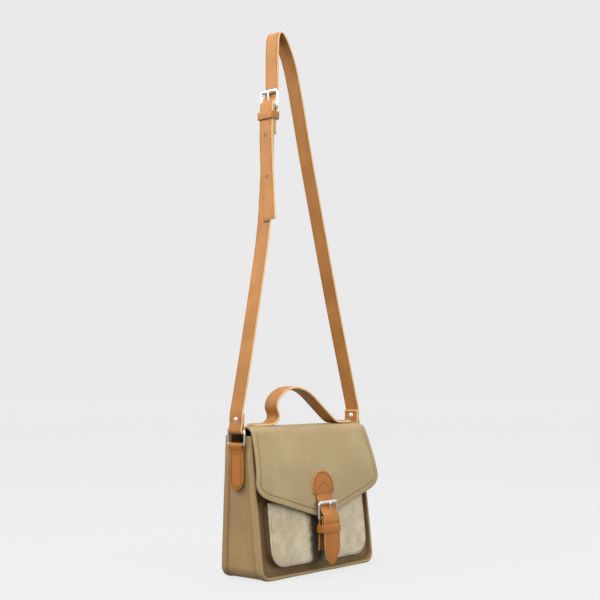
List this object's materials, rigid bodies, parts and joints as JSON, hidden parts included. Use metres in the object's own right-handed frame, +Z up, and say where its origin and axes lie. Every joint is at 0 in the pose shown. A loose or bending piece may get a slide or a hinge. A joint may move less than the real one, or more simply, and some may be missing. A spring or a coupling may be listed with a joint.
{
  "type": "satchel bag",
  "caption": "Leather satchel with a fold-over flap, mock-buckle snap closure, hair-calf front pocket, top handle and buckled shoulder strap standing upright.",
  "frame": {"origin": "middle of the bag's underside, on the face it stands on", "axes": "+Z up along the standing shoulder strap; +Y towards the back panel, so the flap and pocket face -Y; +X towards the bag's own left, which is the viewer's right when facing the front"},
  "size_m": [0.2718, 0.1043, 0.7924],
  "materials": {
    "flap_leather": "smooth, satin, lightly grained khaki leather",
    "side_leather": "smooth, satin brown-tan leather",
    "panel_leather": "smooth, satin dark brown leather",
    "hair_leather": "short-haired hide, grey-beige with a dark brown stripe, matt",
    "strap_leather": "smooth orange-tan bridle leather with pale cut edges, satin",
    "lining": "plain dark brown cloth",
    "board": "stiffening board, covered by the lining",
    "hardware": "polished silver-coloured metal"
  },
  "bodies": {
    "root": {"front_panel": "panel_leather", "back_panel": "flap_leather", "front_rim": "flap_leather", "back_rim": "flap_leather", "gusset": "side_leather", "base_board": "board", "lining": "lining", "pocket_face": "hair_leather", "pocket_gusset": "panel_leather", "snap_socket": "hardware", "flap_anchor": "flap_leather", "side_tab_left": "strap_leather", "side_tab_right": "strap_leather"},
    "flap_top": {"flap_top": "flap_leather", "flap_top_lining": "lining", "handle_end_left": "strap_leather", "handle_end_right": "strap_leather"},
    "flap_front": {"flap_front": "flap_leather", "flap_front_lining": "lining", "closure_strap": "strap_leather", "closure_buckle": "hardware", "closure_chape": "strap_leather", "closure_keeper": "strap_leather", "snap_stud": "hardware"},
    "closure_roller": {"closure_roller": "hardware"},
    "closure_prong": {"closure_prong": "hardware"},
    "handle": {"handle": "strap_leather"},
    "ring_left": {"ring_left": "hardware", "rivet_left": "hardware"},
    "ring_right": {"ring_right": "hardware", "rivet_right": "hardware"},
    "strap": {"short_strap": "strap_leather", "long_strap": "strap_leather", "strap_buckle": "hardware", "strap_keeper": "strap_leather"},
    "strap_roller": {"strap_roller": "hardware"},
    "strap_prong": {"strap_prong": "hardware"}
  },
  "joints": [
    {"name": "flap_open", "type": "hinge", "parent": "root", "child": "flap_top", "pos_m": [0, 0.0331, 0.2018], "axis": [-1, 0, 0], "range_deg": [0, 175]},
    {"name": "flap_fold", "type": "hinge", "parent": "flap_top", "child": "flap_front", "pos_m": [0, -0.0241, 0.1995], "axis": [-1, 0, 0], "range_deg": [0, 70]},
    {"name": "handle_tilt", "type": "hinge", "parent": "flap_top", "child": "handle", "pos_m": [0, 0.005, 0.2283], "axis": [1, 0, 0], "range_deg": [-60, 60]},
    {"name": "ring_left_tilt", "type": "hinge", "parent": "root", "child": "ring_left", "pos_m": [-0.1294, 0.006, 0.186], "axis": [0, -1, 0], "range_deg": [0, 30], "deforming": ["short_strap"]},
    {"name": "ring_right_tilt", "type": "hinge", "parent": "root", "child": "ring_right", "pos_m": [0.1294, 0.006, 0.186], "axis": [0, 1, 0], "range_deg": [0, 30], "deforming": ["long_strap"]},
    {"name": "strap_swing", "type": "hinge", "parent": "root", "child": "strap", "pos_m": [0, 0.005, 0.258], "axis": [1, 0, 0], "range_deg": [-117, 117], "deforming": ["short_strap", "long_strap"]},
    {"name": "closure_prong_tilt", "type": "hinge", "parent": "flap_front", "child": "closure_prong", "pos_m": [0, -0.0525, 0.078], "axis": [1, 0, 0], "range_deg": [0, 10]},
    {"name": "closure_roller_spin", "type": "hinge", "parent": "flap_front", "child": "closure_roller", "pos_m": [0, -0.0525, 0.101], "axis": [1, 0, 0], "continuous": true},
    {"name": "strap_prong_tilt", "type": "hinge", "parent": "strap", "child": "strap_prong", "pos_m": [-0.063, 0.005, 0.676], "axis": [0, -1, 0], "range_deg": [0, 10]},
    {"name": "strap_roller_spin", "type": "hinge", "parent": "strap", "child": "strap_roller", "pos_m": [-0.063, 0.005, 0.701], "axis": [0, 1, 0], "continuous": true}
  ],
  "couplings": [
    {"joint": "flap_fold", "follows": "flap_open", "ratio": 0.4}
  ]
}
